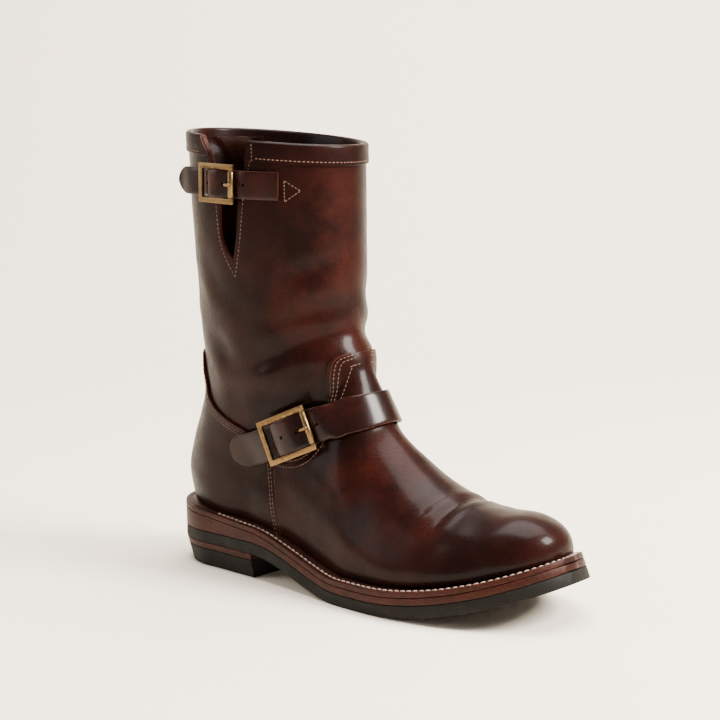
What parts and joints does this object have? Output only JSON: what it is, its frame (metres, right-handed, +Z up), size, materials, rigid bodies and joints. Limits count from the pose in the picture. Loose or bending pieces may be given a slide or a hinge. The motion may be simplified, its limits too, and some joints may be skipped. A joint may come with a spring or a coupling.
{
  "type": "engineer boot",
  "caption": "Pull-on leather boot with a round toe, a buckled strap over the instep, a buckled top strap at a slit in the shaft, and a welted sole with a separate heel.",
  "frame": {"origin": "centre of the heel cap's floor face", "axes": "+X to the toe, +Y to the inner (medial) side of the foot, +Z up from the floor"},
  "size_m": [0.3079, 0.1105, 0.2856],
  "materials": {
    "leather": "waxed pull-up leather, dark brown with red-brown patches",
    "strap leather": "smooth dark brown strap leather with burnished edges",
    "welt leather": "red-brown sole leather, edge dressed",
    "lining leather": "plain undyed lining leather",
    "rubber": "matt near-black rubber",
    "brass": "antiqued brass, brighter on the edges"
  },
  "bodies": {
    "root": {"outsole": "rubber", "midsole": "welt leather", "welt": "welt leather", "insole": "lining leather", "heel_lift": "welt leather", "heel_cap": "rubber", "upper": "leather", "counter": "leather", "vamp": "leather", "collar_band": "leather", "slit_gusset": "leather", "ankle_strap": "strap leather", "ankle_buckle_frame": "brass", "ankle_buckle_roller": "brass", "ankle_buckle_prong": "brass", "top_strap": "strap leather", "top_buckle_frame": "brass", "top_buckle_roller": "brass", "top_buckle_prong": "brass"}
  },
  "joints": []
}
